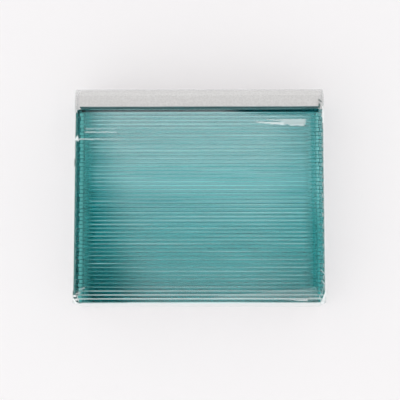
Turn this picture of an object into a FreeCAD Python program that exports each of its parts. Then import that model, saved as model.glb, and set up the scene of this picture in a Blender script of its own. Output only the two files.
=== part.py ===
"""A film-sealed pack of microscope slides, as a parametric FreeCAD document in millimetres.

Fifty glass slides stand on their long edges, face to face, with a soft foam strip behind the last one.
One clear film is wrapped around them all, lapped along the far side and folded flat over both ends.

X runs along the slides, Y through the stack from its near face to the foam strip, and Z up.  The origin
is on the table, under the middle of the wrapped pack.
"""

import FreeCAD
import Part
import Sketcher
import os

# Driving dimensions: name, value in millimetres (or a plain count or angle), and what it measures.
SIZES = [
    ("slide_length", 76.2, "long side of one slide, 3 inches"),
    ("slide_width", 25.4, "short side of one slide, 1 inch, which stands upright here"),
    ("slide_thickness", 1.16, "thickness of one slide"),
    ("slide_gap", 0.04, "air between two slides"),
    ("slide_count", 50, "how many slides stand in the pack"),
    ("corner_clip", 1.2, "how much of each side a slide's clipped corners take away"),
    ("edge_bevel", 0.13, "ground bevel along every edge of a slide"),
    ("slide_stagger", 0.22, "furthest that a slide sits off the middle, along its length"),
    ("stagger_turn", 137.5, "degrees of phase from one slide's stagger to the next"),
    ("strip_thickness", 6.0, "thickness of the foam strip behind the last slide"),
    ("strip_gap", 0.6, "dark slot between the last slide and the foam strip"),
    ("strip_end_inset", 0.7, "how much shorter than a slide the strip is, at each end"),
    ("strip_drop", 0.3, "how far the strip's top lies below the slides' top edges"),
    ("strip_round", 3.2, "rounding of the strip's two long edges that face away"),
    ("film_thickness", 0.08, "thickness of the clear film"),
    ("film_clearance", 0.12, "air that the tight film leaves around what it wraps"),
    ("flap_lap", 2.6, "how far an upper end flap laps over the lower one"),
    ("flap_slant", 45.0, "degrees between an end flap's fold and its slanted sides"),
    ("seam_width", 8.0, "height of the lap where the film is sealed to itself"),
]

# Lengths that follow from the driving dimensions, written as expressions of the sheet's cells.
SLIDE_PITCH = "(Sizes.slide_thickness + Sizes.slide_gap)"
STACK_DEPTH = f"(Sizes.slide_count * {SLIDE_PITCH} - Sizes.slide_gap)"
STRIP_HEIGHT = "(Sizes.slide_width - Sizes.strip_drop)"

# The room inside the film.  Its edges are as round as the bevelled glass corners let the film be, and
# rounder where it passes over the foam strip.
ROOM_LENGTH = "(Sizes.slide_length + 2 * Sizes.slide_stagger + 2 * Sizes.film_clearance)"
ROOM_DEPTH = f"({STACK_DEPTH} + Sizes.strip_gap + Sizes.strip_thickness + 2 * Sizes.film_clearance)"
ROOM_HEIGHT = "(Sizes.slide_width + Sizes.film_clearance)"
ROOM_CORNER = "(Sizes.edge_bevel + Sizes.film_clearance)"
ROOM_FAR_ROUND = "(Sizes.strip_round + Sizes.film_clearance)"

# The outside of the film, one thickness further out all round.
PACK_LENGTH = f"({ROOM_LENGTH} + 2 * Sizes.film_thickness)"
PACK_DEPTH = f"({ROOM_DEPTH} + 2 * Sizes.film_thickness)"
PACK_HEIGHT = f"({ROOM_HEIGHT} + 2 * Sizes.film_thickness)"
PACK_CORNER = f"({ROOM_CORNER} + Sizes.film_thickness)"
PACK_FAR_ROUND = f"({ROOM_FAR_ROUND} + Sizes.film_thickness)"

# Where the first slide's near face stands.
STACK_START = f"(Sizes.film_thickness + Sizes.film_clearance - {PACK_DEPTH} / 2)"

# An end flap is folded over the flat of the end, between the near corner and the far rounding.  The
# upper and the lower one each reach past the middle by half of their lap.
FLAP_FOLD = f"({PACK_DEPTH} - {PACK_CORNER} - {PACK_FAR_ROUND})"
FLAP_MIDDLE = f"(({PACK_CORNER} - {PACK_FAR_ROUND}) / 2)"
FLAP_REACH = f"({PACK_HEIGHT} / 2 - {PACK_CORNER} + Sizes.flap_lap / 2)"
FLAP_TIP = f"({FLAP_FOLD} - 2 * {FLAP_REACH} / tan(Sizes.flap_slant * 1 deg))"

X_AXIS = FreeCAD.Vector(1, 0, 0)
Z_AXIS = FreeCAD.Vector(0, 0, 1)

doc = FreeCAD.newDocument("SlidePack")


def fill_sheet():
    """Put the driving dimensions in the document's sheet, one alias to a row."""
    sheet = doc.addObject("Spreadsheet::Sheet", "Sizes")
    for row, (name, value, meaning) in enumerate(SIZES, start=1):
        sheet.set(f"A{row}", name)
        sheet.set(f"B{row}", str(value))
        sheet.set(f"C{row}", meaning)
        sheet.setAlias(f"B{row}", name)
    doc.recompute()
    return sheet


def place(thing, x="0", y="0", z="0"):
    """Tie an object's position to three expressions."""
    thing.setExpression(".Placement.Base.x", x)
    thing.setExpression(".Placement.Base.y", y)
    thing.setExpression(".Placement.Base.z", z)


def new_body(name):
    body = doc.addObject("PartDesign::Body", name)
    body.Label = name
    return body


def sketch_on(body, role):
    """An empty sketch on one of the body's own origin planes."""
    sketch = body.newObject("Sketcher::SketchObject", f"{body.Name}_outline")
    plane = next(feature for feature in body.Origin.OriginFeatures if feature.Role == role)
    sketch.AttachmentSupport = (plane, "")
    sketch.MapMode = "FlatFace"
    return sketch


def own_axis(direction):
    """A sketch's own horizontal axis, X, or vertical axis, Y, as Sketcher numbers them."""
    return -1 if direction == "X" else -2


def start(line):
    """The start of a sketched line, as Sketcher numbers it."""
    return (line, 1)


def end(line):
    return (line, 2)


def draw_quad(sketch, corners):
    """Close four lines through four corners, counter-clockwise from the lower left."""
    for i, (x, y) in enumerate(corners):
        next_x, next_y = corners[(i + 1) % len(corners)]
        line = Part.LineSegment(FreeCAD.Vector(x, y, 0), FreeCAD.Vector(next_x, next_y, 0))
        sketch.addGeometry(line, False)
    for i in range(len(corners)):
        following = (i + 1) % len(corners)
        sketch.addConstraint(Sketcher.Constraint("Coincident", *end(i), *start(following)))


def set_size(sketch, name, direction, first, second, expression):
    """Name the distance from one point to another, along X or Y, and tie it to an expression."""
    drawn = sketch.getPoint(*second) - sketch.getPoint(*first)
    length = drawn.x if direction == "X" else drawn.y
    index = sketch.addConstraint(Sketcher.Constraint(f"Distance{direction}", *first, *second, length))
    sketch.renameConstraint(index, name)
    sketch.setExpression(f"Constraints.{name}", expression)


def draw_rectangle(sketch, width, height):
    """A rectangle about the sketch's origin."""
    draw_quad(sketch, [(-1, -1), (1, -1), (1, 1), (-1, 1)])
    sketch.addConstraint(Sketcher.Constraint("Horizontal", 0))
    sketch.addConstraint(Sketcher.Constraint("Vertical", 1))
    sketch.addConstraint(Sketcher.Constraint("Horizontal", 2))
    sketch.addConstraint(Sketcher.Constraint("Vertical", 3))
    origin = start(own_axis("X"))
    sketch.addConstraint(Sketcher.Constraint("Symmetric", *start(0), *start(2), *origin))
    set_size(sketch, "width", "X", start(0), end(0), width)
    set_size(sketch, "height", "Y", start(1), end(1), height)


def draw_flap(sketch, fold, tip, reach):
    """A trapezium that stands on the sketch's horizontal axis, its tip the shorter side."""
    draw_quad(sketch, [(-2, 0), (2, 0), (1, 1), (-1, 1)])
    sketch.addConstraint(Sketcher.Constraint("PointOnObject", *start(0), own_axis("X")))
    sketch.addConstraint(Sketcher.Constraint("Symmetric", *start(0), *end(0), own_axis("Y")))
    sketch.addConstraint(Sketcher.Constraint("Symmetric", *start(2), *end(2), own_axis("Y")))
    set_size(sketch, "fold", "X", start(0), end(0), fold)
    set_size(sketch, "tip", "X", end(2), start(2), tip)
    set_size(sketch, "reach", "Y", start(1), end(1), reach)


def pad(body, sketch, length, side_type="Symmetric"):
    feature = body.newObject("PartDesign::Pad", f"{body.Name}_pad")
    feature.Profile = sketch
    feature.SideType = side_type
    feature.setExpression("Length", length)
    sketch.Visibility = False
    doc.recompute()
    return feature


def edges_of(feature, wanted):
    """The names of the edges of a feature that the function wanted picks out."""
    return [f"Edge{i}" for i, edge in enumerate(feature.Shape.Edges, start=1) if wanted(edge)]


def fillet(body, base, wanted, radius, name):
    feature = body.newObject("PartDesign::Fillet", f"{body.Name}_{name}")
    feature.Base = (base, edges_of(base, wanted))
    feature.setExpression("Radius", radius)
    doc.recompute()
    return feature


def chamfer(body, base, wanted, size, name):
    feature = body.newObject("PartDesign::Chamfer", f"{body.Name}_{name}")
    feature.Base = (base, edges_of(base, wanted))
    feature.setExpression("Size", size)
    doc.recompute()
    return feature


def is_any(edge):
    return True


def runs_along_x(edge):
    box = edge.BoundBox
    return box.XLength > box.YLength + box.ZLength


def runs_along_y(edge):
    box = edge.BoundBox
    return box.YLength > box.XLength + box.ZLength


def is_far_edge(edge):
    return runs_along_x(edge) and edge.CenterOfMass.y > 0


def is_glass_edge(edge):
    """An edge of the near face, or any edge of either end."""
    return not is_far_edge(edge)


def make_slide(number):
    """One glass slide: a plate with four clipped corners and a ground bevel along all its edges."""
    body = new_body(f"slide_{number:02d}")
    sketch = sketch_on(body, "XZ_Plane")
    draw_rectangle(sketch, "Sizes.slide_length", "Sizes.slide_width")
    plate = pad(body, sketch, "Sizes.slide_thickness")
    clipped = chamfer(body, plate, runs_along_y, "Sizes.corner_clip", "clip")
    chamfer(body, clipped, is_any, "Sizes.edge_bevel", "bevel")
    place(
        body,
        x=f"Sizes.slide_stagger * sin({number} * Sizes.stagger_turn * 1 deg)",
        y=f"{STACK_START} + {number - 1} * {SLIDE_PITCH} + Sizes.slide_thickness / 2",
        z="Sizes.film_thickness + Sizes.slide_width / 2",
    )
    return body


def make_foam_strip():
    """The soft strip behind the last slide, rounded where the film turns over it."""
    body = new_body("foam_strip")
    sketch = sketch_on(body, "YZ_Plane")
    draw_rectangle(sketch, "Sizes.strip_thickness", STRIP_HEIGHT)
    block = pad(body, sketch, "Sizes.slide_length - 2 * Sizes.strip_end_inset")
    fillet(body, block, is_far_edge, "Sizes.strip_round", "round")
    place(
        body,
        y=f"{STACK_START} + {STACK_DEPTH} + Sizes.strip_gap + Sizes.strip_thickness / 2",
        z=f"Sizes.film_thickness + {STRIP_HEIGHT} / 2",
    )
    return body


def make_block(name, length, depth, height, corner, far_round):
    """A block with two well rounded far edges and all its other edges just broken."""
    body = new_body(name)
    sketch = sketch_on(body, "YZ_Plane")
    draw_rectangle(sketch, depth, height)
    block = pad(body, sketch, length)
    rounded = fillet(body, block, is_far_edge, far_round, "far_round")
    fillet(body, rounded, is_glass_edge, corner, "corner")
    place(body, z=f"{PACK_HEIGHT} / 2")
    return body


def make_flap(side, out, level, layers):
    """One folded end flap: out is +1 or -1 along X, and level is +1 for the upper flap, -1 the lower."""
    body = new_body(f"flap_{side}")
    sketch = sketch_on(body, "YZ_Plane")
    draw_flap(sketch, FLAP_FOLD, FLAP_TIP, FLAP_REACH)
    pad(body, sketch, f"{layers} * Sizes.film_thickness", "One side")
    turn_over = FreeCAD.Rotation(X_AXIS, 180 if level > 0 else 0)
    turn_round = FreeCAD.Rotation(Z_AXIS, 180 if out < 0 else 0)
    body.Placement = FreeCAD.Placement(FreeCAD.Vector(), turn_round * turn_over)
    place(
        body,
        x=f"{out} * {PACK_LENGTH} / 2",
        y=FLAP_MIDDLE,
        z=f"{PACK_HEIGHT} / 2 - {level} * ({PACK_CORNER} - {PACK_HEIGHT} / 2)",
    )
    return body


def make_seam():
    """The lap along the far side, where the film's two edges are sealed together."""
    seam = doc.addObject("Part::Box", "film_seam")
    seam.setExpression("Length", f"{PACK_LENGTH} - 2 * {PACK_CORNER}")
    seam.setExpression("Width", "Sizes.film_thickness")
    seam.setExpression("Height", "Sizes.seam_width")
    place(
        seam,
        x=f"{PACK_CORNER} - {PACK_LENGTH} / 2",
        y=f"{PACK_DEPTH} / 2",
        z=f"({PACK_HEIGHT} - Sizes.seam_width) / 2",
    )
    return seam


def make_film():
    """The clear wrap: a closed thin skin with its seam and its four end flaps laid on."""
    outside = make_block(
        "film_outside", PACK_LENGTH, PACK_DEPTH, PACK_HEIGHT, PACK_CORNER, PACK_FAR_ROUND
    )
    inside = make_block(
        "film_inside", ROOM_LENGTH, ROOM_DEPTH, ROOM_HEIGHT, ROOM_CORNER, ROOM_FAR_ROUND
    )
    layers = [outside, make_seam()]
    for side, out in (("right", 1), ("left", -1)):
        layers.append(make_flap(f"{side}_lower", out, -1, 1))
        layers.append(make_flap(f"{side}_upper", out, 1, 2))
    folded = doc.addObject("Part::MultiFuse", "film_folded")
    folded.Shapes = layers
    folded.Refine = True
    film = doc.addObject("Part::Cut", "film_wrap")
    film.Base = folded
    film.Tool = inside
    return film


def check(parts):
    """Stop if any object failed, or any sub-part is not one valid solid."""
    for item in doc.Objects:
        if "Invalid" in item.State or "Error" in item.State:
            raise RuntimeError(f"{item.Label} did not recompute: {item.State}")
    for item in parts:
        shape = item.Shape
        if shape.isNull() or not shape.isValid() or len(shape.Solids) != 1:
            raise RuntimeError(f"{item.Label} is not one valid solid")


def main():
    sheet = fill_sheet()
    parts = [make_slide(number) for number in range(1, int(sheet.slide_count) + 1)]
    parts.append(make_foam_strip())
    parts.append(make_film())
    doc.recompute()
    check(parts)
    os.makedirs("parts", exist_ok=True)
    for item in parts:
        item.Shape.exportStep(os.path.join("parts", f"{item.Label}.step"))


main()
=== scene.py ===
"""A film-sealed pack of microscope slides: fifty glass slides on edge and a foam strip, in clear film.

The slides are the CAD's own, with the material of soda-lime glass.  The film and the foam strip are
surfaces worked out here around the boxes of their CAD solids.  Lengths are in metres, and in millimetres in
the tables that say so.
"""

import math

import bmesh
import bpy
import numpy as np
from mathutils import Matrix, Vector


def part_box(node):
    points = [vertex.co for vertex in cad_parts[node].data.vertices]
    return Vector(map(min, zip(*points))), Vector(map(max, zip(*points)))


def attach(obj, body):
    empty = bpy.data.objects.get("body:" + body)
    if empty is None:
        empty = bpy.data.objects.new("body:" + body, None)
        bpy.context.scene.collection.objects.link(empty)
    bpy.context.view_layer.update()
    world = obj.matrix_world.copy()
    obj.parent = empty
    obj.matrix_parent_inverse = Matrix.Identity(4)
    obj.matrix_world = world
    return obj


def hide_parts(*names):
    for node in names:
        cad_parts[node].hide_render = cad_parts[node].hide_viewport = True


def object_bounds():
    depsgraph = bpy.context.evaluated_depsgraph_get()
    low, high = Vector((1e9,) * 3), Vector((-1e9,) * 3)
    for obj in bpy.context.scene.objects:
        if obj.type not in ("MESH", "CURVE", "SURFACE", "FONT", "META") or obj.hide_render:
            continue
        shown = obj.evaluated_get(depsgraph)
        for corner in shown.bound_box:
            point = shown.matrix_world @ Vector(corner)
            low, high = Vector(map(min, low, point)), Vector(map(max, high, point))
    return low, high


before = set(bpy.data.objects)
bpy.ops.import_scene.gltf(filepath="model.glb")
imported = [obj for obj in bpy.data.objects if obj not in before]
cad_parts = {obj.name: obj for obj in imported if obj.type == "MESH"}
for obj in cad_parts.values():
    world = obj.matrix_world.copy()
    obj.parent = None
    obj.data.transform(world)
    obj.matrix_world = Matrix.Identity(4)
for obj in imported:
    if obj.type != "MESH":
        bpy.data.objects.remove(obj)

MM = 0.001
CAD_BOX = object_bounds()

# The film, as the CAD has it: its thickness, its corners, the lap on its far side and that of the flaps, and
# how many layers of flaps each end leaves room for.
FILM_THICKNESS = 0.08 * MM
FILM_NEAR_ROUND = 0.34 * MM
FILM_FAR_ROUND = 3.4 * MM
SEAM_HEIGHT = 8.0 * MM
FLAP_LAP = 2.6 * MM
END_LAYERS = 2

# The foam strip: its corners, soft beside the glass and round where the film turns over it, the waves in its
# sides, and the cells in its skin.
STRIP_NEAR_ROUND = 0.45 * MM
STRIP_FAR_ROUND = 3.2 * MM
STRIP_END_ROUND = 0.8 * MM
STRIP_DENT = 0.16 * MM
STRIP_LONG_WAVE = 6.1 * MM
STRIP_LONG_WAVE_START = 1.3
STRIP_SHORT_WAVE = 2.3 * MM
STRIP_SHORT_WAVE_LEAN = 5.0 * MM
FOAM_CELL = 0.6 * MM
FOAM_CELL_DENT = 0.08 * MM

# How near two points of a surface are when they are one and the same.
ONE_PLACE = 0.0005 * MM

# The nearest slide, and the one behind it.
FIRST_SLIDE = "slide_01"
SECOND_SLIDE = "slide_02"

# Soda-lime glass: how much it bends light, how rough its surfaces are, how much of a ground end is frost, and
# how fast red, green and blue light fade within it, by the metre.
GLASS_INDEX = 1.52
POLISHED = 0.0
FINELY_GROUND = 0.08
FROST_SHARE = 0.4
FADING_BY_THE_METRE = (63.0, 7.56, 6.741)

# The grinding's streaks are about two slides wide, and are stretched along them.
GRIND_STREAK = 2.2 * MM
GRIND_STRETCH = (0.05, 1, 0.05)

# How far behind the first slide's near face a place still counts as on it.
NEAR_FACE_DEPTH = 0.1 * MM

# Where the looks of the glass come and go.  Each row has the measure that it follows, the two places in
# millimetres between which it changes, and its share at each.  X runs to the right and Y to the far side,
# and "out" is the distance from the middle towards either end.
GLASS_FADES = {
    "right": ("X", -20.0, 20.0, 0.0, 1.0),
    "near": ("Y", 4.0, -12.0, 0.0, 1.0),
    "far": ("Y", -8.0, 20.0, 0.0, 1.0),
    # Painted light: a pale teal on the upper corners, growing towards the right.
    "painted light on the corners": ("X", 0.0, 30.0, 0.0, 0.4),
    # Painted shade near both ends: an opaque teal on the long edges, lighter at the right.
    "scuffed at both ends": ("out", 32.6, 35.4, 0.0, 0.35),
    "scuffed at the left": ("X", -34.9, -36.3, 0.0, 0.85),
    "scuffed at the right": ("X", 35.2, 36.7, 0.0, 0.85),
    # Painted shade on the long edges: by the near corners, towards both ends, most at the left.
    "dusk at the near side": ("Y", -13.0, -25.0, 0.0, 1.0),
    "dusk at both ends": ("out", 10.0, 31.0, 0.0, 1.0),
    "dusk from left to right": ("X", -10.0, 10.0, 1.0, 0.6),
    # Painted shade on the long edges of the last slides, beside the strip.
    "beside the strip": ("Y", 25.0, 25.8, 0.0, 1.0),
    "less rough outwards": ("out", 34.5, 30.0, 0.70, 1.0),
    "smooth at the tips": ("out", 37.0, 36.6, 0.0, 1.0),
    # Painted light on the bevels of the nearest slides.
    "nearest slides": ("Y", -28.0, -32.5, 0.0, 1.0),
    # Painted shade: the bevels darken to green towards both ends.
    "greener outwards": ("out", 32.0, 34.5, 0.0, 1.0),
    # Painted shade on the tips of the bevels.
    "tips": ("out", 36.7, 37.1, 0.0, 1.0),
}

# The film's creases, painted white as highlights where they catch the light.  Each row has two ends in X and
# Y and half the width at each, all in millimetres, and then its strength.
CREASE_GLINTS = [
    ((20.6, 23.2), (32.9, 22.9), (0.12, 0.55), 0.45),
    ((17.8, 22.4), (26.4, 21.9), (0.12, 0.50), 0.62),
    ((25.0, 22.3), (32.8, 22.2), (0.60, 0.60), 0.42),
    ((27.8, 21.6), (32.5, 21.6), (0.25, 0.45), 0.50),
    ((15.6, 22.8), (19.8, 22.7), (0.10, 0.18), 0.30),
    ((-37.6, 18.4), (-37.9, 16.8), (0.10, 0.75), 0.85),
    ((-37.4, 17.2), (-30.0, 17.2), (0.30, 0.18), 0.42),
    ((-31.0, 17.2), (-24.0, 17.2), (0.26, 0.16), 0.22),
    ((-35.4, 19.4), (-25.0, 19.4), (0.30, 0.18), 0.34),
    ((-35.4, 20.5), (-25.0, 20.5), (0.28, 0.16), 0.22),
    ((4.0, -31.6), (36.0, -30.8), (0.20, 2.20), 0.09),
    ((-38.4, -31.2), (-37.4, -31.3), (0.30, 0.30), 0.85),
    ((-37.9, -32.3), (-36.9, -32.3), (0.20, 0.30), 0.80),
    ((-37.6, -30.6), (-36.2, -30.1), (0.25, 0.20), 0.45),
    ((-36.6, -29.2), (-35.0, -28.7), (0.20, 0.30), 0.30),
    ((37.1, -23.4), (38.3, -24.6), (0.20, 0.20), 0.35),
    ((37.2, -26.6), (38.3, -27.6), (0.25, 0.20), 0.40),
    ((38.7, -29.6), (37.3, -33.6), (0.25, 0.55), 0.80),
    ((37.9, -28.6), (37.0, -31.6), (0.15, 0.15), 0.25),
    ((-38.75, -31.9), (-37.2, -33.7), (0.35, 0.40), 0.90),
    ((27.0, -32.4), (32.9, -32.6), (0.06, 0.32), 0.60),
    ((33.2, -31.7), (36.8, -31.7), (0.15, 0.15), 0.35),
    ((38.3, 22.0), (38.3, 27.5), (0.30, 0.40), 0.70),
]

# The film's folds, painted dark as shade: listed in the same way.
FOLD_SHADES = [
    ((37.0, 29.6), (37.9, 28.7), (0.30, 0.30), 0.70),
    ((37.1, 28.4), (37.1, 26.8), (0.30, 0.35), 0.80),
    ((-38.45, 11.0), (-38.45, 8.8), (0.25, 0.25), 0.75),
    ((-38.5, -29.6), (-38.3, -30.9), (0.35, 0.35), 0.85),
    ((-38.35, -31.4), (-37.5, -32.5), (0.20, 0.20), 0.70),
    ((-37.6, -32.4), (-36.4, -33.2), (0.20, 0.22), 0.70),
    ((33.2, -32.9), (36.8, -32.9), (0.35, 0.35), 0.45),
]

# The film's edges, where it turns down: painted green shadow lines just inside them, and painted highlights
# along them.
EDGE_SHADES = [
    ((-37.95, 25.6), (-38.0, -31.0), (0.36, 0.42), 0.80),
    ((38.0, 25.6), (38.05, -31.0), (0.20, 0.22), 0.60),
    ((-36.8, -33.3), (-22.0, -33.3), (0.22, 0.20), 0.65),
    ((-24.0, -33.2), (36.0, -33.2), (0.16, 0.16), 0.25),
]
EDGE_GLINTS = [
    ((-38.5, 25.6), (-38.5, -31.0), (0.16, 0.16), 0.70),
    ((38.52, 25.6), (38.52, -31.0), (0.16, 0.16), 0.80),
    ((-36.0, -33.48), (36.5, -33.48), (0.12, 0.12), 0.75),
]

# How far the sides of a crease and of an edge wander, the size of their ragged steps, and how softly they
# fade at their sides and their ends.
CREASE_RAG = 0.35 * MM
EDGE_RAG = 0.04 * MM
RAG_STEP = 1.6 * MM
CREASE_SIDE = (-0.06 * MM, 0.12 * MM)
CREASE_END = 0.5 * MM

# How far below the film's top the lines on it fade out: where they are gone, and where they are whole.
TOP_FADE = (1.6 * MM, 0.8 * MM)

# The film's white ribs: painted highlights over the nearest slides.  They grow from one place in Y to
# another, and fade towards both ends in X.  Their patches are of one size across the slides, and are
# stretched along them.
RIB_GROWTH = {"From Min": -27.0 * MM, "From Max": -33.2 * MM}
RIB_FADES = [
    {"From Min": -36.0 * MM, "From Max": -14.0 * MM, "To Min": 0.2, "To Max": 0.8},
    {"From Min": 26.0 * MM, "From Max": 12.0 * MM, "To Min": 0.3},
]
RIB_PATCH = 2.0 * MM
RIB_STRETCH = (0.08, 1, 0.08)

# The lines along the edges of the flaps and of the lap, from clear at one distance to whole at the other, how
# strong they are, and how near a side a place has to be to lie on it.
WRAP_LINE = {"From Min": 0.25 * MM, "From Max": 0.10 * MM}
FLAP_LINE_SHARE = 0.35
LAP_LINE_SHARE = 0.25
SIDE_DEPTH = 0.4 * MM

# The film's gloss when it is faced squarely, its haze at a slant, and the power by which both grow with it.
GLOSS_FACED = 0.08
HAZE_SLANTED = 0.8
SLANT_POWER = 5.0

# The softbox: its height and its reach in X and in Y, how its left end leans, and how far back its far edge
# lies at the left and at the right.  The rows of its fades are like those of the glass.
SOFTBOX_HEIGHT = 525.0 * MM
SOFTBOX_X = (-250.0 * MM, 250.0 * MM)
SOFTBOX_Y = (-150.0 * MM, 450.0 * MM)
SOFTBOX_LEAN = 0.2
SOFTBOX_LEAN_START = -12.0 * MM
SOFTBOX_FADES = [
    ("leaning", -84.0, -50.0, 0.0, 1.0),
    ("X", 73.2, 71.0, 0.0, 1.0),
    ("X", 75.0, 35.0, 0.5, 1.0),
    ("Y", 30.0, 120.0, 0.8, 2.15),
]
SOFTBOX_FAR_EDGE = {"From Min": 5.0 * MM, "From Max": 40.0 * MM, "To Min": 124.5 * MM, "To Max": 121.5 * MM}
SOFTBOX_FAR_BLUR = {"From Min": -0.8 * MM, "From Max": 0.8 * MM}

# The lamp at the left, the sky's strength, the camera, which is turned by degrees, and the table.
LAMP_PLACE = (-0.5, -0.45, 1.0)
LAMP_SIZE = 1.0
LAMP_WATTS = 1.2
SKY_AS_LIGHT = 1.0
SKY_AS_SEEN = 0.85
CAMERA_LENS = 115
CAMERA_PLACE = (0.005, -0.0503, 0.415)
CAMERA_TURN = (7.1, 0.7, 0.0)
TABLE_SIZE = 3.0


# Colours and nodes


def srgb(code):
    """An sRGB hex colour as the linear colour that a shader takes."""
    parts = [int(code[i:i + 2], 16) / 255 for i in (1, 3, 5)]
    linear = [c / 12.92 if c <= 0.04045 else ((c + 0.055) / 1.055) ** 2.4 for c in parts]
    return (*linear, 1.0)


def add(tree, kind, settings=None, links=None, **properties):
    """Adds a node, with values on its sockets, links into them and its own properties.

    A link comes from an output, or from a node, which stands for its first output.
    """
    node = tree.nodes.new(f"ShaderNode{kind}")
    for name, value in properties.items():
        setattr(node, name, value)
    for socket, value in (settings or {}).items():
        node.inputs[socket].default_value = value
    for socket, source in (links or {}).items():
        output = source.outputs[0] if isinstance(source, bpy.types.Node) else source
        tree.links.new(output, node.inputs[socket])
    return node


def new_material(name):
    """An empty material: its tree and its output node."""
    material = bpy.data.materials.new(name)
    material.use_nodes = True
    material.node_tree.nodes.clear()
    return material, material.node_tree, add(material.node_tree, "OutputMaterial")


# The glass


def slide_ends(tree, fade, normal, painted_shade_tint):
    """A slide's ends and clipped corners, ground fine: frosted glass.

    The upper corners carry painted shade, a tint darker at the left than at the right, and painted light that
    grows towards the right: a pale teal, darker towards the near side.
    """
    bare = add(tree, "BsdfGlass", {"IOR": GLASS_INDEX, "Roughness": FINELY_GROUND})
    frost = add(tree, "BsdfDiffuse", {"Color": srgb("#A4D0CE")})
    frosted = add(tree, "MixShader", {0: FROST_SHARE}, {1: bare, 2: frost})
    # Painted shade: the upper corners' glass takes a tint, darker at the left than at the right.
    shaded = add(tree, "BsdfGlass", {"IOR": GLASS_INDEX, "Roughness": FINELY_GROUND}, {"Color": painted_shade_tint})
    # Painted light: a pale teal diffuse on the upper corners, growing towards the right, darker towards the
    # near side.
    tone = add(tree, "MixRGB", {"Color1": srgb("#B4DCDC"), "Color2": srgb("#6FB6B6")},
               {"Fac": fade["near"]})
    painted_corner_light = add(tree, "BsdfDiffuse", links={"Color": tone})
    corner = add(tree, "MixShader", links={0: fade["painted light on the corners"], 1: shaded, 2: painted_corner_light})
    is_upper = add(tree, "Math", {1: 0.1}, {0: normal.outputs["Z"]}, operation="GREATER_THAN")
    return add(tree, "MixShader", links={0: is_upper, 1: frosted, 2: corner})


def slide_edges(tree, fade):
    """A slide's long edges, polished clear, but painted near both ends with an opaque teal as shade, lighter
    at the right.

    Painted shade darkens them by both near corners, most at the left, and beside the strip.
    """
    clear = add(tree, "BsdfGlass", {"IOR": GLASS_INDEX, "Roughness": POLISHED})
    # Painted shade: a greyer tint by the near corners and towards both ends, and a darker one beside the
    # strip.
    dusk = add(tree, "BsdfGlass", {"IOR": GLASS_INDEX, "Roughness": POLISHED, "Color": srgb("#E4EAEA")})
    shade = add(tree, "BsdfGlass", {"IOR": GLASS_INDEX, "Roughness": POLISHED, "Color": srgb("#8FA9AE")})
    darker = fade["dusk at the near side"]
    for name in ("dusk at both ends", "dusk from left to right"):
        darker = add(tree, "Math", links={0: darker, 1: fade[name]}, operation="MULTIPLY")
    edge = add(tree, "MixShader", links={0: darker, 1: clear, 2: dusk})
    # Painted shade near both ends: an opaque teal in place of the glass, lighter at the right.
    right = add(tree, "MixRGB", {"Color1": srgb("#8ED0D0"), "Color2": srgb("#52AAAA")},
                {"Fac": fade["near"]})
    tone = add(tree, "MixRGB", {"Color1": srgb("#66B8B6")}, {"Fac": fade["right"], "Color2": right})
    painted_end_shade = add(tree, "BsdfDiffuse", links={"Color": tone})
    end_shade_share = fade["scuffed at both ends"]
    for name in ("scuffed at the left", "scuffed at the right"):
        end_shade_share = add(tree, "Math", links={0: end_shade_share, 1: fade[name]}, operation="MAXIMUM")
    edge = add(tree, "MixShader", links={0: end_shade_share, 1: edge, 2: painted_end_shade})
    return add(tree, "MixShader", links={0: fade["beside the strip"], 1: edge, 2: shade})


def slide_bevels(tree, fade, spot, normal, painted_shade_tint):
    """A slide's bevels, left rough from the stone: pale, more on some slides than on others.

    Painted light makes them palest on the nearest slides and underneath, painted shade makes them darker
    green towards both ends and tints their tips, darker at the left, and they are clearest at their tips.
    """
    slide_by_slide = add(tree, "Mapping", {"Scale": GRIND_STRETCH}, {"Vector": spot})
    grind = add(tree, "TexNoise", {"Scale": 1 / GRIND_STREAK, "Detail": 2.0}, {"Vector": slide_by_slide})
    rough = add(tree, "MapRange", {"From Min": 0.3, "From Max": 0.7, "To Min": 0.7},
                {"Value": grind.outputs["Fac"]}, interpolation_type="SMOOTHSTEP")
    for name in ("less rough outwards", "smooth at the tips"):
        rough = add(tree, "Math", links={0: rough, 1: fade[name]}, operation="MULTIPLY")
    # Painted light: the bevels of the nearest slides and those underneath turn near white.
    underneath = add(tree, "MapRange", {"From Min": -0.2, "From Max": -0.4, "To Max": 0.7},
                     {"Value": normal.outputs["Z"]}, interpolation_type="SMOOTHSTEP")
    painted_light_share = add(tree, "Math", links={0: fade["nearest slides"], 1: underneath}, operation="MAXIMUM")
    pale = add(tree, "Math", links={0: rough, 1: painted_light_share}, operation="MAXIMUM")
    streak = add(tree, "MapRange", {"From Min": 0.35, "From Max": 0.65}, {"Value": grind.outputs["Fac"]},
                 interpolation_type="SMOOTHSTEP")
    tone = add(tree, "MixRGB", {"Color1": srgb("#74BABB"), "Color2": srgb("#AEDEDE")}, {"Fac": streak})
    # Painted shade: the bevels turn a darker green towards both ends.
    tone = add(tree, "MixRGB", {"Color2": srgb("#5CB0AE")},
               {"Fac": fade["greener outwards"], "Color1": tone})
    tone = add(tree, "MixRGB", {"Color2": srgb("#F4FBFA")}, {"Fac": painted_light_share, "Color1": tone})
    ground = add(tree, "BsdfDiffuse", links={"Color": tone})
    # Painted shade: the glass at the bevels' tips takes the corners' tint.
    dim = add(tree, "MixRGB", {"Color1": (1, 1, 1, 1)}, {"Fac": fade["tips"], "Color2": painted_shade_tint})
    clear = add(tree, "BsdfGlass", {"IOR": GLASS_INDEX, "Roughness": FINELY_GROUND}, {"Color": dim})
    return add(tree, "MixShader", links={0: pale, 1: clear, 2: ground})


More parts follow.
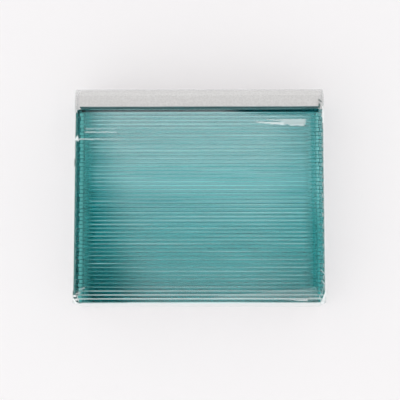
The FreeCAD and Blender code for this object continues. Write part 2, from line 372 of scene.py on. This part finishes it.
def slides_in_table_light(tree, fade, place, faces_an_end):
    """The slides as they are to light that goes down to the table or comes back up from it.

    It runs straight through a slide from edge to edge, and the near face and both ends turn it back: pale
    from outside, deep green from within.  From within, the ends let half of it out at the right and at the
    far side, so the green is lighter there.
    """
    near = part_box(FIRST_SLIDE)[0].y
    is_near = add(tree, "Math", {1: near + NEAR_FACE_DEPTH}, {0: place.outputs["Y"]}, operation="LESS_THAN")
    within = add(tree, "NewGeometry").outputs["Backfacing"]
    lit = add(tree, "Math", links={0: fade["right"], 1: fade["far"]}, operation="MAXIMUM")
    half_open = add(tree, "Math", links={0: lit, 1: within}, operation="MULTIPLY")
    closed = add(tree, "MapRange", {"To Min": 1.0, "To Max": 0.5}, {"Value": half_open},
                 interpolation_type="SMOOTHSTEP")
    end_wall = add(tree, "Math", links={0: faces_an_end, 1: closed}, operation="MULTIPLY")
    is_wall = add(tree, "Math", links={0: is_near, 1: end_wall}, operation="MAXIMUM")
    deep = add(tree, "MixRGB", {"Color1": srgb("#1F4C4A"), "Color2": srgb("#4A908D")}, {"Fac": lit})
    tone = add(tree, "MixRGB", {"Color1": srgb("#FFFFFF")}, {"Fac": within, "Color2": deep})
    wall = add(tree, "BsdfDiffuse", links={"Color": tone})
    through = add(tree, "BsdfTransparent", {"Color": (0.99, 0.99, 0.99, 1)})
    return add(tree, "MixShader", links={0: is_wall, 1: through, 2: wall})


def soda_lime_glass():
    """Soda-lime sheet glass, cut and ground.  Clear through its faces and blue-green along its length.

    The float-made faces and the polished edges are as smooth as a mirror.  The ends and the clipped corners
    are finely ground, and the bevels are left rough, so that each catches the light as a pale line.  Painted
    shade and painted light are mixed into the edges, ends and bevels as well.
    """
    material, tree, output = new_material("soda_lime_glass_ground_edges")
    spot = add(tree, "TexCoord")
    place = add(tree, "SeparateXYZ", links={0: spot.outputs["Object"]})
    normal = add(tree, "SeparateXYZ", links={0: spot.outputs["Normal"]})
    out = add(tree, "Math", links={0: place.outputs["X"]}, operation="ABSOLUTE")
    measures = {"X": place.outputs["X"], "Y": place.outputs["Y"], "out": out}
    fade = {}
    for name, (measure, start, end, first, last) in GLASS_FADES.items():
        places = {"From Min": start * MM, "From Max": end * MM, "To Min": first, "To Max": last}
        fade[name] = add(tree, "MapRange", places, {"Value": measures[measure]},
                         interpolation_type="SMOOTHSTEP")
    # How squarely a place looks along each axis tells a slide's faces, its long edges and its ends.
    facing = {}
    for axis in "XYZ":
        facing[axis] = add(tree, "Math", links={0: normal.outputs[axis]}, operation="ABSOLUTE")
    is_face = add(tree, "Math", {1: 0.9}, {0: facing["Y"]}, operation="GREATER_THAN")
    is_long_edge = add(tree, "Math", {1: 0.95}, {0: facing["Z"]}, operation="GREATER_THAN")
    faces_an_end = add(tree, "Math", {1: 0.5}, {0: facing["X"]}, operation="GREATER_THAN")
    is_square = add(tree, "Math", {1: 0.1}, {0: facing["Y"]}, operation="LESS_THAN")
    is_end = add(tree, "Math", links={0: faces_an_end, 1: is_square}, operation="MULTIPLY")
    # Painted shade on the upper corners and the tips of the bevels: a tint, darker at the left than at the
    # right.
    painted_shade_tint = add(tree, "MixRGB", {"Color1": srgb("#83B3B2"), "Color2": srgb("#DCEFEE")},
               {"Fac": fade["right"]})
    face = add(tree, "BsdfGlass", {"IOR": GLASS_INDEX, "Roughness": POLISHED})
    solid = slide_bevels(tree, fade, spot.outputs["Object"], normal, painted_shade_tint)
    for mask, shader in [
        (is_long_edge, slide_edges(tree, fade)),
        (is_end, slide_ends(tree, fade, normal, painted_shade_tint)),
        (is_face, face),
    ]:
        solid = add(tree, "MixShader", links={0: mask, 1: solid, 2: shader})
    table_lit = slides_in_table_light(tree, fade, place, faces_an_end)
    path = add(tree, "LightPath")
    seen = solid
    for ray in ("Is Diffuse Ray", "Is Shadow Ray"):
        seen = add(tree, "MixShader", links={0: path.outputs[ray], 1: seen, 2: table_lit})
    fastest = max(FADING_BY_THE_METRE)
    kept = (*(1 - fading / fastest for fading in FADING_BY_THE_METRE), 1.0)
    body = add(tree, "VolumeAbsorption", {"Color": kept, "Density": fastest})
    tree.links.new(seen.outputs[0], output.inputs["Surface"])
    tree.links.new(body.outputs[0], output.inputs["Volume"])
    return material


# The film


def crease_mask(tree, along, across, length, widths, wobble):
    """A mask that is 1 on a wedge and fades to 0 at its sides and its two ends.

    The wedge lies on the line where the distance across is 0, and half its width grows evenly along its
    length from the first width to the second.
    """
    half = add(tree, "MapRange", {"From Max": length, "To Min": widths[0], "To Max": widths[1]},
               {"Value": along})
    off = add(tree, "Math", links={0: across, 1: wobble})
    away = add(tree, "Math", links={0: off}, operation="ABSOLUTE")
    within = add(tree, "Math", links={0: half, 1: away}, operation="SUBTRACT")
    fade = min(CREASE_END, length / 4)
    steps = [(within, *CREASE_SIDE), (along, -fade, fade), (along, length + fade, length - fade)]
    mask = None
    for distance, dark, light in steps:
        step = add(tree, "MapRange", {"From Min": dark, "From Max": light}, {"Value": distance},
                   interpolation_type="SMOOTHSTEP")
        mask = step if mask is None else add(tree, "Math", links={0: mask, 1: step}, operation="MULTIPLY")
    return mask


def crease_masks(tree, place, creases, rag):
    """The strongest of many creases at each place, each with sides that wander by the rag.

    A place's dot product with a crease's direction says how far along it is, and with its normal how far
    across.
    """
    ragged = add(tree, "TexNoise", {"Scale": 1 / RAG_STEP, "Detail": 3.0}, {"Vector": place})
    wobble = add(tree, "MapRange", {"To Min": -rag, "To Max": rag}, {"Value": ragged.outputs["Fac"]})
    strongest = None
    for start, end, widths, strength in creases:
        start, end = Vector(start) * MM, Vector(end) * MM
        ahead = (end - start).normalized()
        distances = []
        for direction in (ahead, Vector((-ahead.y, ahead.x))):
            reach = add(tree, "VectorMath", {1: (*direction, 0)}, {0: place}, operation="DOT_PRODUCT")
            distances.append(add(tree, "Math", {1: -direction.dot(start)}, {0: reach.outputs["Value"]}))
        mask = crease_mask(tree, *distances, (end - start).length, [width * MM for width in widths], wobble)
        share = add(tree, "Math", {1: strength}, {0: mask}, operation="MULTIPLY")
        if strongest is not None:
            share = add(tree, "Math", links={0: strongest, 1: share}, operation="MAXIMUM")
        strongest = share
    return strongest


def rib_glint_mask(tree, place):
    """A mask of the white ribs painted on the film as highlights over the nearest slides.

    Along Y it is a sine whose period is the distance from one slide to the next, highest between two
    slides, and it grows with the square of the distance towards the near side.
    """
    parts = add(tree, "SeparateXYZ", links={0: place})
    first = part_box(FIRST_SLIDE)[0].y
    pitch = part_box(SECOND_SLIDE)[0].y - first
    turn = add(tree, "Math", {1: -first}, {0: parts.outputs["Y"]})
    turn = add(tree, "Math", {1: 2 * math.pi / pitch, 2: math.pi / 2}, {0: turn}, operation="MULTIPLY_ADD")
    wave = add(tree, "Math", links={0: turn}, operation="SINE")
    mask = add(tree, "MapRange", {"From Min": -0.2, "From Max": 0.8}, {"Value": wave},
               interpolation_type="SMOOTHSTEP")
    growth = add(tree, "MapRange", RIB_GROWTH, {"Value": parts.outputs["Y"]})
    growth_squared = add(tree, "Math", {1: 2.0}, {0: growth}, operation="POWER")
    slide_by_slide = add(tree, "Mapping", {"Scale": RIB_STRETCH}, {"Vector": place})
    patches = add(tree, "TexNoise", {"Scale": 1 / RIB_PATCH, "Detail": 2.0}, {"Vector": slide_by_slide})
    patch = add(tree, "MapRange", {"From Min": 0.3, "From Max": 0.6, "To Min": 0.3},
                {"Value": patches.outputs["Fac"]})
    fades = [add(tree, "MapRange", places, {"Value": parts.outputs["X"]}) for places in RIB_FADES]
    for share in (growth_squared, patch, *fades):
        mask = add(tree, "Math", links={0: mask, 1: share}, operation="MULTIPLY")
    return mask


def wrap_masks(tree, place):
    """Masks of the edges that the wrapping leaves: the flaps' on both ends, and the lap's on the far side.

    On an end, both flaps' slanted edges run where a place is as far in from the upright side as from the top
    or the bottom, and the upper flap's free edge lies half a lap below the middle.  The lap's edges lie half
    its height above and below the middle.
    """
    low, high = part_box("film_wrap")
    middle, half = (low + high) / 2, (high - low) / 2
    parts = add(tree, "SeparateXYZ", links={0: place})
    away = {}
    for name, axis, centre in [
        ("lengthwise", "X", middle.x),
        ("across", "Y", middle.y),
        ("up or down", "Z", middle.z),
        ("from the free edge", "Z", middle.z - FLAP_LAP / 2),
    ]:
        off = add(tree, "Math", {1: centre}, {0: parts.outputs[axis]}, operation="SUBTRACT")
        away[name] = add(tree, "Math", links={0: off}, operation="ABSOLUTE")
    slant = add(tree, "Math", links={0: away["up or down"], 1: away["across"]}, operation="SUBTRACT")
    slant = add(tree, "Math", {1: half.y - half.z}, {0: slant})
    lap = add(tree, "Math", {1: SEAM_HEIGHT / 2}, {0: away["up or down"]}, operation="SUBTRACT")
    lines = []
    for distance in (slant, away["from the free edge"], lap):
        size = add(tree, "Math", links={0: distance}, operation="ABSOLUTE")
        lines.append(add(tree, "MapRange", WRAP_LINE, {"Value": size}))
    slanted, free, lapped = lines
    is_between = add(tree, "Math", {1: half.y - half.z}, {0: away["across"]}, operation="LESS_THAN")
    free = add(tree, "Math", links={0: free, 1: is_between}, operation="MULTIPLY")
    edges = add(tree, "Math", links={0: slanted, 1: free}, operation="MAXIMUM")
    on_end = add(tree, "Math", {1: half.x - SIDE_DEPTH}, {0: away["lengthwise"]}, operation="GREATER_THAN")
    on_far = add(tree, "Math", {1: high.y - SIDE_DEPTH}, {0: parts.outputs["Y"]}, operation="GREATER_THAN")
    flap_edges = add(tree, "Math", links={0: edges, 1: on_end}, operation="MULTIPLY")
    lap_edges = add(tree, "Math", links={0: lapped, 1: on_far}, operation="MULTIPLY")
    return flap_edges, lap_edges


def film_of_polypropylene():
    """Clear polypropylene film, cast and heat-sealed.  It shows by its gloss, which grows at a slant.

    At a slant its fine folds also show as a haze.  Painted highlights make it white along its creases, its
    edges and its ribs, and painted shade darkens its folds, its lap's lines and the lines just inside its
    edges.
    """
    material, tree, output = new_material("clear_polypropylene_film")
    place = add(tree, "TexCoord").outputs["Object"]
    slant = add(tree, "LayerWeight", {"Blend": 0.5}).outputs["Facing"]
    slanted = add(tree, "Math", {1: SLANT_POWER}, {0: slant}, operation="POWER")
    mirrored = add(tree, "Math", {1: 1 - GLOSS_FACED, 2: GLOSS_FACED}, {0: slanted}, operation="MULTIPLY_ADD")
    haze = add(tree, "Math", {1: HAZE_SLANTED}, {0: slanted}, operation="MULTIPLY")
    flap_edges, lap_edges = wrap_masks(tree, place)
    flap_share = add(tree, "Math", {1: FLAP_LINE_SHARE}, {0: flap_edges}, operation="MULTIPLY")
    # The lap's lines are dark, as painted shade.
    lap_share = add(tree, "Math", {1: LAP_LINE_SHARE}, {0: lap_edges}, operation="MULTIPLY")
    gloss = add(tree, "BsdfGlossy", {"Roughness": 0.02})
    white = add(tree, "BsdfDiffuse", {"Color": srgb("#F4F7F7")})
    dark = add(tree, "BsdfDiffuse", {"Color": srgb("#435F5D")})
    deep = add(tree, "BsdfDiffuse", {"Color": srgb("#3A7371")})
    milky = add(tree, "BsdfDiffuse", {"Color": srgb("#CFE9E9")})
    layers = [(mirrored, gloss), (haze, white), (flap_share, white), (lap_share, dark)]
    # The film's top has lines of its own, painted shadows and painted highlights, which fade out down its
    # sides.
    height = add(tree, "SeparateXYZ", links={0: place}).outputs["Z"]
    heights = {"From Min": CAD_BOX[1].z - TOP_FADE[0], "From Max": CAD_BOX[1].z - TOP_FADE[1]}
    on_top = add(tree, "MapRange", heights, {"Value": height})
    for mask, shader in [
        (crease_masks(tree, place, EDGE_SHADES, EDGE_RAG), deep),
        (crease_masks(tree, place, EDGE_GLINTS, EDGE_RAG), white),
        (crease_masks(tree, place, FOLD_SHADES, CREASE_RAG), dark),
        (crease_masks(tree, place, CREASE_GLINTS, CREASE_RAG), white),
        (rib_glint_mask(tree, place), milky),
    ]:
        layers.append((add(tree, "Math", links={0: mask, 1: on_top}, operation="MULTIPLY"), shader))
    film = add(tree, "BsdfTransparent")
    for share, shader in layers:
        film = add(tree, "MixShader", links={0: share, 1: film, 2: shader})
    tree.links.new(film.outputs[0], output.inputs["Surface"])
    return material


# The other materials


def white_foam():
    """White polyethylene foam, extruded.  A dull off-white skin with fine closed cells, toned a little darker
    as painted shade.

    Its side beside the glass is painted dark grey-green as shade, for the little light that comes through the
    stack.
    """
    material, tree, output = new_material("white_polyethylene_foam")
    spot = add(tree, "TexCoord")
    cells = add(tree, "TexVoronoi", {"Scale": 1 / FOAM_CELL}, {"Vector": spot.outputs["Object"]})
    distance = cells.outputs["Distance"]
    # The cells' tones are set a little darker than the foam's own white, as painted shade.
    tone = add(tree, "MixRGB", {"Color1": srgb("#D2D0CF"), "Color2": srgb("#E2E1E0")}, {"Fac": distance})
    normal = add(tree, "SeparateXYZ", links={0: spot.outputs["Normal"]})
    # Painted shade: the side that faces the glass turns dark grey-green.
    is_hidden = add(tree, "MapRange", {"From Min": -0.3, "From Max": -0.8}, {"Value": normal.outputs["Y"]})
    tone = add(tree, "MixRGB", {"Color2": srgb("#6C8E92")}, {"Fac": is_hidden, "Color1": tone})
    dents = add(tree, "Bump", {"Strength": 0.5, "Distance": FOAM_CELL_DENT}, {"Height": distance})
    foam = add(tree, "BsdfPrincipled", {"Roughness": 0.9}, {"Normal": dents, "Base Color": tone})
    tree.links.new(foam.outputs[0], output.inputs["Surface"])
    return material


def pale_table():
    """White melamine board, lacquered matt: a plain pale floor."""
    material, tree, output = new_material("pale_table")
    finish = {"Base Color": srgb("#F3F1F2"), "Roughness": 0.8, "Specular IOR Level": 0.2}
    board = add(tree, "BsdfPrincipled", finish)
    tree.links.new(board.outputs[0], output.inputs["Surface"])
    return material


def graded_softbox():
    """The softbox's light.  It fades out over both ends of the pack, where it leaves the glass bare.

    It grows towards the far side, and ends on a line that comes a little nearer at the right.
    """
    material, tree, output = new_material("graded_softbox")
    place = add(tree, "SeparateXYZ", links={0: add(tree, "TexCoord").outputs["Object"]})
    x, y = place.outputs["X"], place.outputs["Y"]
    lean = add(tree, "Math", {1: SOFTBOX_LEAN, 2: SOFTBOX_LEAN_START}, {0: y}, operation="MULTIPLY_ADD")
    leaning = add(tree, "Math", links={0: x, 1: lean})
    measures = {"X": x, "Y": y, "leaning": leaning}
    far_edge = add(tree, "MapRange", SOFTBOX_FAR_EDGE, {"Value": x}, interpolation_type="SMOOTHSTEP")
    short = add(tree, "Math", links={0: far_edge, 1: y}, operation="SUBTRACT")
    strength = add(tree, "MapRange", SOFTBOX_FAR_BLUR, {"Value": short})
    for measure, start, end, first, last in SOFTBOX_FADES:
        places = {"From Min": start * MM, "From Max": end * MM, "To Min": first, "To Max": last}
        fade = add(tree, "MapRange", places, {"Value": measures[measure]}, interpolation_type="SMOOTHSTEP")
        strength = add(tree, "Math", links={0: strength, 1: fade}, operation="MULTIPLY")
    light = add(tree, "Emission", links={"Strength": strength})
    tree.links.new(light.outputs[0], output.inputs["Surface"])
    return material


# Surfaces


def ring(low, high, near_round, far_round, inset, counts):
    """A rounded rectangle in Y and Z, one row for each inset, and the way that each of its points faces.

    Every flat is a straight run between two corners' tangent points, and every corner is a quarter turn of
    cosine and sine.  The inset moves all four sides in and takes as much off each corner's radius, down to
    zero.  Counts are the points on a long flat, on an upright flat and on a corner.
    """
    inset = np.asarray(inset, float)[:, None]
    near = np.maximum(near_round - inset, 0)
    far = np.maximum(far_round - inset, 0)
    y0, y1 = low[0] + inset, high[0] - inset
    z0, z1 = low[1] + inset, high[1] - inset
    long_run, upright_run, turn = (np.linspace(0, 1, n, endpoint=False) for n in counts)

    def flat(start, end, steps):
        return [a + (b - a) * steps for a, b in zip(start, end)]

    def corner(y, z, radius, quarter):
        angle = (quarter + turn) * math.pi / 2
        return [y + radius * np.cos(angle), z + radius * np.sin(angle)]

    pieces = [
        flat((y0 + near, z0), (y1 - far, z0), long_run),
        corner(y1 - far, z0 + far, far, 3),
        flat((y1, z0 + far), (y1, z1 - far), upright_run),
        corner(y1 - far, z1 - far, far, 0),
        flat((y1 - far, z1), (y0 + near, z1), long_run),
        corner(y0 + near, z1 - near, near, 1),
        flat((y0, z1 - near), (y0, z0 + near), upright_run),
        corner(y0 + near, z0 + near, near, 2),
    ]
    rows = inset.shape[0]
    y = np.hstack([np.broadcast_to(p[0], (rows, p[0].shape[1])) for p in pieces])
    z = np.hstack([np.broadcast_to(p[1], (rows, p[1].shape[1])) for p in pieces])
    angles = [np.full(counts[0], 3.0), 3 + turn, np.zeros(counts[1]), turn,
              np.full(counts[0], 1.0), 1 + turn, np.full(counts[1], 2.0), 2 + turn]
    facing = np.concatenate(angles) * math.pi / 2
    return y, z, np.cos(facing), np.sin(facing)


def stations(length, end_round, depth, along, around, inward):
    """The rings of a closed block along X: where each stands, its inset and how much it faces along X.

    The left end runs from its middle, where the inset is the whole depth, out to its edge, around a quarter
    turn to the side and along to the middle of the block.  The right end mirrors it.  Along, around and
    inward count the rings on the side, on a turn and on an end.
    """
    turn = np.linspace(0, math.pi / 2, around)
    across = np.linspace(depth, end_round, inward, endpoint=False)
    x = np.concatenate([np.full(inward, -length / 2), -length / 2 + end_round * (1 - np.cos(turn))])
    inset = np.concatenate([across, end_round * (1 - np.sin(turn))])
    facing = np.concatenate([np.full(inward, -1.0), -np.cos(turn)])
    side = np.linspace(-length / 2 + end_round, length / 2 - end_round, along)[1:-1]
    x = np.concatenate([x, side, -x[::-1]])
    inset = np.concatenate([inset, np.zeros(len(side)), inset[::-1]])
    facing = np.concatenate([facing, np.zeros(len(side)), -facing[::-1]])
    return x, inset, facing


def closed_mesh(name, x, y, z):
    """Joins a grid of points, whose columns close on themselves, into a sealed mesh that faces outward."""
    rows, columns = x.shape
    here = np.arange(rows * columns).reshape(rows, columns)
    beside = np.roll(here, -1, axis=1)
    quads = np.stack([here[:-1], beside[:-1], beside[1:], here[1:]], axis=-1).reshape(-1, 4)
    mesh = bpy.data.meshes.new(name)
    mesh.from_pydata(np.stack([x, y, z], axis=-1).reshape(-1, 3).tolist(), [], quads.tolist())
    form = bmesh.new()
    form.from_mesh(mesh)
    bmesh.ops.remove_doubles(form, verts=form.verts, dist=ONE_PLACE)
    bmesh.ops.recalc_face_normals(form, faces=form.faces)
    form.to_mesh(mesh)
    form.free()
    mesh.shade_smooth()
    return mesh


def new_piece(name, mesh, material, node):
    """Puts a mesh in the scene as a piece of the pack that stands for one CAD node."""
    piece = bpy.data.objects.new(name, mesh)
    bpy.context.scene.collection.objects.link(piece)
    mesh.materials.append(material)
    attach(piece, "root")
    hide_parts(node)
    return piece


# The pieces


def dress_slides():
    """Gives every CAD slide its glass."""
    glass = soda_lime_glass()
    for name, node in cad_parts.items():
        if name.startswith("slide_"):
            node.data.materials.clear()
            node.data.materials.append(glass)


def wrap_in_film():
    """The film: a tight closed skin, lapped at the far side and folded over both ends.

    On an end, the parts of each ring that face up or down are the flaps, and they stand out by one film
    thickness.  At the far side the lap does, where a place is within half its height of the middle.
    """
    low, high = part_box("film_wrap")
    length = high.x - low.x - 2 * END_LAYERS * FILM_THICKNESS
    far = high.y - FILM_THICKNESS
    middle = (low.z + high.z) / 2
    x, inset, lengthwise = stations(length, FILM_NEAR_ROUND, (high.z - low.z) / 2,
                                    along=150, around=5, inward=26)
    y, z, face_y, face_z = ring((low.y, low.z), (far, high.z), FILM_NEAR_ROUND, FILM_FAR_ROUND, inset,
                                counts=(110, 40, 8))
    lengthwise = lengthwise[:, None]
    flaps = FILM_THICKNESS * (np.abs(face_z) > 0.9)
    lap = FILM_THICKNESS * ((face_y > 0.9) & (np.abs(z - middle) < SEAM_HEIGHT / 2))
    x = x[:, None] + lengthwise * np.abs(lengthwise) * flaps
    y = y + lap * (1 - np.abs(lengthwise))
    mesh = closed_mesh("film_skin", x, y, z)
    return new_piece("film_skin", mesh, film_of_polypropylene(), "film_wrap")


def lay_foam_strip():
    """The foam strip: a soft bar whose sides swell and sink a little along its length.

    They sink by half the dent, and by a quarter of it times the sum of two sines: a long wave along X, and a
    short one that leans with the height.
    """
    low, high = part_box("foam_strip")
    x, inset, lengthwise = stations(high.x - low.x, STRIP_END_ROUND, (high.y - low.y) / 2,
                                    along=150, around=6, inward=8)
    y, z, face_y, face_z = ring((low.y, low.z), (high.y, high.z), STRIP_NEAR_ROUND, STRIP_FAR_ROUND, inset,
                                counts=(14, 40, 10))
    x = np.broadcast_to(x[:, None], y.shape)
    long_wave = np.sin(x / STRIP_LONG_WAVE + STRIP_LONG_WAVE_START)
    wave = long_wave + np.sin(x / STRIP_SHORT_WAVE + z / STRIP_SHORT_WAVE_LEAN)
    sunk = STRIP_DENT * (0.5 + 0.25 * wave) * (1 - np.abs(lengthwise))[:, None]
    mesh = closed_mesh("foam_bar", x, y - face_y * sunk, z - face_z * sunk)
    strip = new_piece("foam_bar", mesh, white_foam(), "foam_strip")
    return strip


# The stage


def lay_table():
    """A square table top under the pack."""
    bpy.ops.mesh.primitive_plane_add(size=TABLE_SIZE)
    table = bpy.context.object
    table.name = "table_top"
    table.data.materials.append(pale_table())


def hang_lamp():
    """A square soft lamp at the left that looks at the pack."""
    lamp = bpy.data.lights.new("window_lamp", "AREA")
    lamp.shape = "SQUARE"
    lamp.size = LAMP_SIZE
    lamp.energy = LAMP_WATTS
    holder = bpy.data.objects.new("window_lamp", lamp)
    holder.location = LAMP_PLACE
    holder.rotation_euler = (-holder.location).to_track_quat("-Z", "Y").to_euler()
    bpy.context.scene.collection.objects.link(holder)


def hang_softbox():
    """A flat softbox over the pack, which the film mirrors as a milky veil, brighter towards the far side.

    Only mirrored and bent rays see it, so it lights nothing.
    """
    mesh = bpy.data.meshes.new("softbox")
    (left, right), (near, far) = SOFTBOX_X, SOFTBOX_Y
    outline = [(left, near), (left, far), (right, far), (right, near)]
    mesh.from_pydata([(x, y, SOFTBOX_HEIGHT) for x, y in outline], [], [(0, 1, 2, 3)])
    mesh.materials.append(graded_softbox())
    box = bpy.data.objects.new("softbox", mesh)
    bpy.context.scene.collection.objects.link(box)
    box.visible_camera = False
    box.visible_shadow = False
    box.visible_diffuse = False


def light_world():
    """Even white light from all round, a little brighter as light than where it is seen or mirrored."""
    world = bpy.data.worlds.new("studio")
    bpy.context.scene.world = world
    world.use_nodes = True
    tree = world.node_tree
    sky = tree.nodes["Background"]
    path = add(tree, "LightPath")
    seen = path.outputs["Is Camera Ray"]
    for ray in ("Is Glossy Ray", "Is Transmission Ray"):
        seen = add(tree, "Math", links={0: seen, 1: path.outputs[ray]}, operation="MAXIMUM")
    strength = add(tree, "MapRange", {"To Min": SKY_AS_LIGHT, "To Max": SKY_AS_SEEN}, {"Value": seen})
    tree.links.new(strength.outputs[0], sky.inputs["Strength"])
    sky.inputs["Color"].default_value = (1, 1, 1, 1)


def set_camera():
    """Looks down on the pack from just in front of its near side, at 83 degrees above the table."""
    camera = bpy.data.cameras.new("camera")
    camera.lens = CAMERA_LENS
    holder = bpy.data.objects.new("camera", camera)
    holder.location = CAMERA_PLACE
    holder.rotation_euler = [math.radians(turn) for turn in CAMERA_TURN]
    bpy.context.scene.collection.objects.link(holder)
    bpy.context.scene.camera = holder


def set_light_paths():
    """Enough bounces for light to pass fifty slides."""
    cycles = bpy.context.scene.cycles
    cycles.max_bounces = 48
    cycles.transmission_bounces = 48
    cycles.transparent_max_bounces = 64
    cycles.glossy_bounces = 12
    cycles.diffuse_bounces = 6
    bpy.context.scene.view_settings.view_transform = "Standard"


dress_slides()
lay_foam_strip()
wrap_in_film()
lay_table()
hang_lamp()
hang_softbox()
light_world()
set_camera()
set_light_paths()
